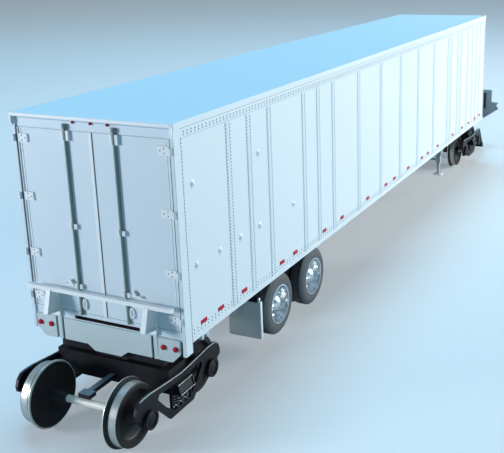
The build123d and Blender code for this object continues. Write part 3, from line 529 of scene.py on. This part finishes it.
# Rail wheels: bright treads and axles, bright rings on the flange edges that are partly steel and partly a
# painted highlight, black discs with a boss behind each. Profiles hold (out from the wheel's back face, above
# the tread), and the axle's half (out from its middle, radius)
bogieXs = dict(rear=3.0, lead=185.0)
railWheel = dict(offset=8.8, radius=5.0, back=6.80, steps=64, axleSteps=32,
                 tread=((0.90, -0.60), (0.90, 0.02), (2.16, -0.06), (2.16, -0.60)),
                 rim=((0.02, 0.18), (0.02, 0.36), (0.14, 0.48), (0.22, 0.50), (0.30, 0.48), (0.30, 0.18)),
                 disc=((0.0, -4.45), (0.0, -3.5), (0.12, -3.2), (0.18, -1.4), (0.0, -0.9), (0.0, 0.20),
                       (0.30, 0.17), (0.30, 0.46), (0.46, 0.43), (0.58, 0.30), (0.70, 0.12), (0.90, 0.03),
                       (0.90, -0.33), (2.16, -0.33), (2.16, -0.05), (2.25, -0.07), (2.30, -0.14),
                       (2.32, -0.33), (2.32, -0.95), (1.75, -1.2), (1.55, -1.5), (1.70, -3.3),
                       (2.45, -3.75), (2.55, -3.9), (2.55, -4.45)),
                 boss=((0.1, -4.5), (0.1, -3.75), (-0.35, -3.85), (-2.8, -4.05), (-2.9, -4.15), (-2.9, -4.5)),
                 axleHalf=((9.4, 0.6), (9.4, 0.45), (11.6, 0.45), (11.6, 0)))


def addWheelPart(mesh, profile, centre, steps):
    for side in (-1, 1):
        points = [(side * (railWheel["back"] + out), railWheel["radius"] + rise) for out, rise in profile]
        addTurned(mesh, points, centre, steps=steps)


for name, bogieX in bogieXs.items():
    for letter, hand in (("a", -1), ("b", 1)):
        ending = name + "_" + letter
        body = "wheelset_" + ending
        centre = (bogieX + hand * railWheel["offset"], 0, railWheel["radius"])
        rims = newMesh()
        addWheelPart(rims, railWheel["rim"], centre, railWheel["steps"])
        place("wheel_rim_glints_" + ending, rims, edgeGlintSteel, body, smooth=40)
        axle = newMesh()
        profile = [(-y, radius) for y, radius in reversed(railWheel["axleHalf"])]
        profile += railWheel["axleHalf"]
        addTurned(axle, profile, centre, steps=railWheel["axleSteps"])
        place("wheel_axle_" + ending, axle, axleSteel, body, smooth=40)
        bright = newMesh()
        addWheelPart(bright, railWheel["tread"], centre, railWheel["steps"])
        brightPiece = place("wheel_treads_" + ending, bright, treadSteel, body, smooth=40)
        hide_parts("rail_wheelset_" + name + "_" + letter)
        dark = newMesh()
        addWheelPart(dark, railWheel["disc"], centre, railWheel["steps"])
        addWheelPart(dark, railWheel["boss"], centre, railWheel["axleSteps"])
        place("wheel_discs_" + ending, dark, wheelBlack, body, smooth=40)
print("rail wheels done")

# Bogie springs as coils
springs = dict(low=2.92, high=5.48, out=11.25, places=(-1.35, 0.0, 1.35), coilRadius=0.37, wire=0.13, turns=5,
               perTurn=14, wireSides=6)
for name, bogieX in bogieXs.items():
    mesh = newMesh()
    for side in (-1, 1):
        for offset in springs["places"]:
            path = []
            steps = springs["turns"] * springs["perTurn"]
            rise = springs["high"] - springs["low"] - 2 * springs["wire"]
            for k in range(steps + 1):
                a = 2 * math.pi * springs["turns"] * k / steps
                path.append((bogieX + offset + springs["coilRadius"] * math.cos(a),
                             side * (springs["out"] + springs["coilRadius"] * math.sin(a)),
                             springs["low"] + springs["wire"] + rise * k / steps))
            addBar(mesh, path, springs["wire"], sides=springs["wireSides"])
    coils = place("spring_coils_" + name, mesh, springBlack, "bogie_" + name, smooth=60)
    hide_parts("bogie_springs_" + name)

# Side frames: painted highlights along the top edges, as (x, z), and round the bolster plates, as (y, z)
frameGlint = dict(top=((-10.8, 8.67), (-9.8, 8.82), (-8.0, 8.82), (-3.2, 8.37), (0.0, 8.17), (3.2, 8.37),
                     (8.0, 8.82), (9.8, 8.82), (10.8, 8.67), (11.6, 7.97)), out=11.47, radius=0.12, sides=6,
                plateHalf=2.0, plateLow=(12.73, 5.57), plateHigh=(12.27, 7.13), plateRadius=0.08)
# Journal caps with three bolts; the profile holds (distance out from the cap's seat, radius)
journalCap = dict(seat=11.87, profile=((-0.05, 0), (-0.05, 1.05), (0.096, 1.05), (0.16, 0.93), (0.16, 0)),
                  steps=32, bolts=3, boltCircle=0.68, boltRadius=0.15, boltHeight=0.06, boltSunk=0.02)
for name, bogieX in bogieXs.items():
    glintMesh = newMesh()
    caps = newMesh()
    for side in (-1, 1):
        path = [(bogieX + x, side * frameGlint["out"], z) for x, z in frameGlint["top"]]
        addBar(glintMesh, path, frameGlint["radius"], sides=frameGlint["sides"])
        half = frameGlint["plateHalf"]
        corners = ((-half, frameGlint["plateLow"]), (half, frameGlint["plateLow"]), (half, frameGlint["plateHigh"]),
                   (-half, frameGlint["plateHigh"]))
        path = [(bogieX + x, side * y, z) for x, (y, z) in corners]
        addBar(glintMesh, path, frameGlint["plateRadius"], sides=frameGlint["sides"], loop=True)
        for hand in (-1, 1):
            centre = (bogieX + hand * railWheel["offset"], 0, railWheel["radius"])
            profile = [(side * (journalCap["seat"] + out), radius) for out, radius in journalCap["profile"]]
            addTurned(caps, profile, centre, steps=journalCap["steps"])
            spots = []
            for k in range(journalCap["bolts"]):
                a = math.radians(90 + 360 / journalCap["bolts"] * k)
                spots.append((centre[0] + journalCap["boltCircle"] * math.cos(a), profile[-1][0],
                              centre[2] + journalCap["boltCircle"] * math.sin(a)))
            addHeads(caps, spots, (0, side, 0), journalCap["boltRadius"], journalCap["boltHeight"],
                     sunk=journalCap["boltSunk"])
    place("frame_edge_glints_" + name, glintMesh, glintAndBoltGrey, "bogie_" + name, smooth=60)
    place("journal_caps_" + name, caps, frameBlack, "bogie_" + name, smooth=30)
print("bogies done")

# Road wheels: grooved tyres, hub caps and nuts on the bright rims. Half the tyre's profile holds (in from its
# face, above the tread), and the cap's profile (in from the outer tyre's face, radius)
roadWheel = dict(xs=dict(rear=32.6, fore=47.5), z=8.4, radius=5.8, outerFace=14.25, width=2.8, gap=0.45,
                 tyreHalf=((0.0, -2.1), (0.0, -1.85), (-0.06, -1.5), (-0.02, -1.0), (0.10, -0.62),
                           (0.28, -0.30), (0.52, -0.02), (0.78, 0), (0.80, -0.14), (0.94, -0.14), (0.96, 0)),
                 steps=72)
hubCap = dict(profile=((0.75, 0), (0.75, 1.15), (0.42, 1.15), (0.30, 1.0), (0.26, 0.75), (0.20, 0.7),
                       (0.14, 0.55), (0.12, 0)), steps=32)
wheelNuts = dict(count=10, circle=1.75, inset=2.15, radius=0.19, height=0.35, sunk=0.2)
for name, axleX in roadWheel["xs"].items():
    for side, flip in (("right", False), ("left", True)):
        body = "road_wheels_" + name + "_" + side
        centre = (axleX, 0, roadWheel["z"])
        mesh = newMesh()
        outer = roadWheel["outerFace"]
        half = [(y, roadWheel["radius"] + rise) for y, rise in roadWheel["tyreHalf"]]
        for face in (outer, outer - roadWheel["width"] - roadWheel["gap"]):
            profile = [(-face + y, radius) for y, radius in half]
            profile += [(-face + roadWheel["width"] - y, radius) for y, radius in reversed(half)]
            addTurned(mesh, profile, centre, steps=roadWheel["steps"])
        tyres = place("tyres_" + name + "_" + side, mesh, tyreRubber, body, smooth=30,
                      flip=flip)
        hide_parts("road_tyres_" + name + "_" + side)
        mesh = newMesh()
        spots = []
        for k in range(wheelNuts["count"]):
            a = 2 * math.pi * (k + 0.5) / wheelNuts["count"]
            spots.append((axleX + wheelNuts["circle"] * math.cos(a), -outer + wheelNuts["inset"],
                          roadWheel["z"] + wheelNuts["circle"] * math.sin(a)))
        addHeads(mesh, spots, (0, -1, 0), wheelNuts["radius"], wheelNuts["height"], sunk=wheelNuts["sunk"])
        profile = [(-outer + y, radius) for y, radius in hubCap["profile"]]
        addTurned(mesh, profile, centre, steps=hubCap["steps"])
        place("hub_caps_" + name + "_" + side, mesh, rimChrome, body, smooth=30, flip=flip)
print("road wheels done")

# Road suspension: bellows on the air springs, with (height, radius), and brake chambers on the axles, with
# (distance ahead of their rear end, radius)
bellows = dict(ahead=2.6, y=5.20, low=9.6, steps=28,
               profile=((0.0, 0), (0.0, 0.8), (0.15, 0.85), (0.5, 1.0), (0.92, 0.82), (1.08, 0.82),
                        (1.5, 1.0), (1.85, 0.85), (2.0, 0.8), (2.0, 0)))
chamber = dict(behind=2.6, y=3.4, z=8.6, steps=24,
               profile=((0.0, 0), (0.0, 0.595), (0.25, 0.85), (0.765, 0.85), (0.85, 0.95), (0.935, 0.85),
                        (1.4, 0.765), (1.7, 0.425), (1.7, 0)))
mesh = newMesh()
pods = newMesh()
for x in roadWheel["xs"].values():
    for side in (-1, 1):
        base = (x + bellows["ahead"], side * bellows["y"], bellows["low"])
        addTurned(mesh, bellows["profile"], base, axis="z", steps=bellows["steps"])
        rearEnd = (x - chamber["behind"], side * chamber["y"], chamber["z"])
        addTurned(pods, chamber["profile"], rearEnd, axis="x", steps=chamber["steps"])
bags = place("bellows", mesh, tyreRubber, "trailer", smooth=50)
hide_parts("air_springs")
place("brake_chambers", pods, frameBlack, "trailer", smooth=40)

# Mud flaps: pale rolled edge, bright button at the hanger's end
flap = dict(rear=23.98, front=24.72, inner=14.56, outer=14.72, low=5.15, high=12.15, bevel=0.05)
button = dict(x=24.2, y=14.27, z=12.6, radius=0.38, height=0.34)
pale = newMesh()
bright = newMesh()
for side in (-1, 1):
    addBox(pale, flap["rear"], flap["front"], side * flap["inner"], side * flap["outer"], flap["low"],
           flap["high"], bevel=flap["bevel"])
    centre = (button["x"], side * button["y"], button["z"])
    addDome(bright, centre, "y", side, button["radius"], button["height"])
place("flap_edges", pale, fittingWhite, "trailer", smooth=60)
place("hanger_buttons", bright, rimChrome, "trailer", smooth=60)

# Landing gear crank on the right leg, with its gearbox
gearbox = dict(rear=143.25, front=144.75, outer=-12.65, inner=-12.25, low=10.9, high=12.3, bevel=0.08)
crank = dict(radius=0.14, path=((144.0, -12.5, 11.6), (144.0, -13.2, 11.6), (144.2, -13.3, 10.2),
                                (144.2, -13.9, 10.2)))
mesh = newMesh()
addBox(mesh, gearbox["rear"], gearbox["front"], gearbox["outer"], gearbox["inner"], gearbox["low"],
       gearbox["high"], bevel=gearbox["bevel"])
addBar(mesh, crank["path"], crank["radius"])
place("landing_crank", mesh, legGrey, "trailer", smooth=40)

# Nose: rivet columns, two air connectors and a socket
nose = dict(face=185.5, columns=(-11.5, -6.0, 0.0, 6.0, 11.5), low=21.4, high=48.0, pitch=1.1, radius=0.15,
            height=0.06)
connector = dict(ys=(-1.6, 1.6), z=22.6, steps=20,
                 profile=((-0.05, 0), (-0.05, 0.55), (0.25, 0.55), (0.25, 0.35), (0.7, 0.35), (0.7, 0)),
                 socketHalf=0.5, socketReach=0.7, sunk=0.05, bevel=0.08)
mesh = newMesh()
heights = spaced(nose["low"], nose["high"], nose["pitch"])
addHeads(mesh, [(nose["face"], y, z) for y in nose["columns"] for z in heights], (1, 0, 0), nose["radius"],
         nose["height"])
place("nose_rivets", mesh, rivetShadeGrey, "trailer")
mesh = newMesh()
for y in connector["ys"]:
    centre = (nose["face"], y, connector["z"])
    addTurned(mesh, connector["profile"], centre, axis="x", steps=connector["steps"])
half = connector["socketHalf"]
addBox(mesh, nose["face"] - connector["sunk"], nose["face"] + connector["socketReach"], -half, half,
       connector["z"] - half, connector["z"] + half, bevel=connector["bevel"])
place("nose_connectors", mesh, frameBlack, "trailer", smooth=40)

# End frame: raised rim, stiffeners and bolts on its front; bolt rows and plate seams on the deck
endFrame = dict(face=210.4, rimRadius=0.10, rim=((5.9, 9.50), (9.5, 10.05), (14.50, 13.50), (13.75, 14.70),
                                                 (14.40, 15.50), (12.0, 15.62), (12.0, 20.0)),
                ribs=(3.4, 7.9), ribHalf=0.16, ribProud=0.14, ribLow=10.1, ribHigh=19.8, sunk=0.05,
                bevel=0.04)
deck = dict(top=13.40, half=8.95, boltsY=8.60, start=190.5, pitch=1.3, count=14, seams=(196.0, 202.5),
            seamWidth=0.10, seamSunk=0.02, seamProud=0.015)
bolt = dict(heights=(10.9, 13.6, 16.3, 19.0), beside=0.5, radius=0.15, height=0.08, sunk=0.02)
mesh = newMesh()
rimPath = [(endFrame["face"], y, z) for y, z in endFrame["rim"]]
rimPath += [(endFrame["face"], -y, z) for y, z in reversed(endFrame["rim"])]
addBar(mesh, rimPath, endFrame["rimRadius"], loop=True)
spots = []
for side in (-1, 1):
    for rib in endFrame["ribs"]:
        y = side * rib
        addBox(mesh, endFrame["face"] - endFrame["sunk"], endFrame["face"] + endFrame["ribProud"],
               y - endFrame["ribHalf"], y + endFrame["ribHalf"], endFrame["ribLow"], endFrame["ribHigh"],
               bevel=endFrame["bevel"])
        spots += [(endFrame["face"], side * (rib + bolt["beside"]), z) for z in bolt["heights"]]
place("end_frame_ribs", mesh, platformGrey, "trailer", smooth=35)
bolts = newMesh()
addHeads(bolts, spots, (1, 0, 0), bolt["radius"], bolt["height"], sunk=bolt["sunk"])
spots = [(deck["start"] + deck["pitch"] * k, side * deck["boltsY"], deck["top"])
         for k in range(deck["count"]) for side in (-1, 1)]
addHeads(bolts, spots, (0, 0, 1), bolt["radius"], bolt["height"], sunk=bolt["sunk"])
place("deck_bolts", bolts, glintAndBoltGrey, "trailer", smooth=30)
mesh = newMesh()
for x in deck["seams"]:
    addBox(mesh, x, x + deck["seamWidth"], -deck["half"], deck["half"], deck["top"] - deck["seamSunk"],
           deck["top"] + deck["seamProud"])
place("deck_seams", mesh, seamAndShadowGrey, "trailer", smooth=0)
print("details done")

# Floor that glows a little to the camera alone, so that it stays pale without lighting the trailer
floor = dict(size=3.0, colour=(0.44, 0.46, 0.47), glow=0.30, glowColour=(0.80, 0.92, 1.0, 1))
floorMesh = bpy.data.meshes.new("floor_sheet")
sheet = bmesh.new()
bmesh.ops.create_grid(sheet, x_segments=1, y_segments=1, size=floor["size"])
sheet.to_mesh(floorMesh)
sheet.free()
floorSheet = bpy.data.objects.new("floor_sheet", floorMesh)
bpy.context.collection.objects.link(floorSheet)
floorPale = finish("floorPale", floor["colour"], rough=0.8, grain=0.01, scale=20.0, shine=0.1)
floorTree = floorPale.node_tree
floorShader = floorTree.nodes["Principled BSDF"]
seen = floorTree.nodes.new("ShaderNodeLightPath")
glow = floorTree.nodes.new("ShaderNodeMath")
glow.operation = "MULTIPLY"
glow.inputs[1].default_value = floor["glow"]
floorTree.links.new(seen.outputs["Is Camera Ray"], glow.inputs[0])
floorTree.links.new(glow.outputs["Value"], floorShader.inputs["Emission Strength"])
floorShader.inputs["Emission Color"].default_value = floor["glowColour"]
floorSheet.data.materials.append(floorPale)

sky = dict(colour=(0.42, 0.76, 1.0, 1), strength=0.20)
world = bpy.data.worlds.new("sky")
bpy.context.scene.world = world
world.use_nodes = True
world.node_tree.nodes["Background"].inputs["Color"].default_value = sky["colour"]
world.node_tree.nodes["Background"].inputs["Strength"].default_value = sky["strength"]

# Soft lamps: source, target and size in m, power in W
lampSet = dict(
    keyLeft=dict(source=(-0.29, 0.22, 0.08), target=(-0.10, 0, 0.03), size=(0.07, 0.07), power=0.68,
                 colour=(0.90, 0.93, 1.0)),
    sideFront=dict(source=(0.26, -0.30, 0.15), target=(0.12, 0, 0.03), size=(0.25, 0.2), power=1.75,
                   colour=(1.0, 0.88, 0.74)),
    sideFill=dict(source=(0.22, -0.50, 0.14), target=(-0.02, 0, 0.03), size=(0.2, 0.2), power=1.3,
                  colour=(0.30, 0.68, 0.95)),
    topLight=dict(source=(0.13, 0.12, 0.70), target=(0.03, 0, 0.02), size=(0.35, 0.35), power=5.1,
                  colour=(0.27, 0.64, 0.92)))
for name, look in lampSet.items():
    softLamp(name, look["source"], look["target"], look["size"], look["power"], look["colour"])
print("lamps done")

bpy.context.scene.view_settings.view_transform = "Standard"
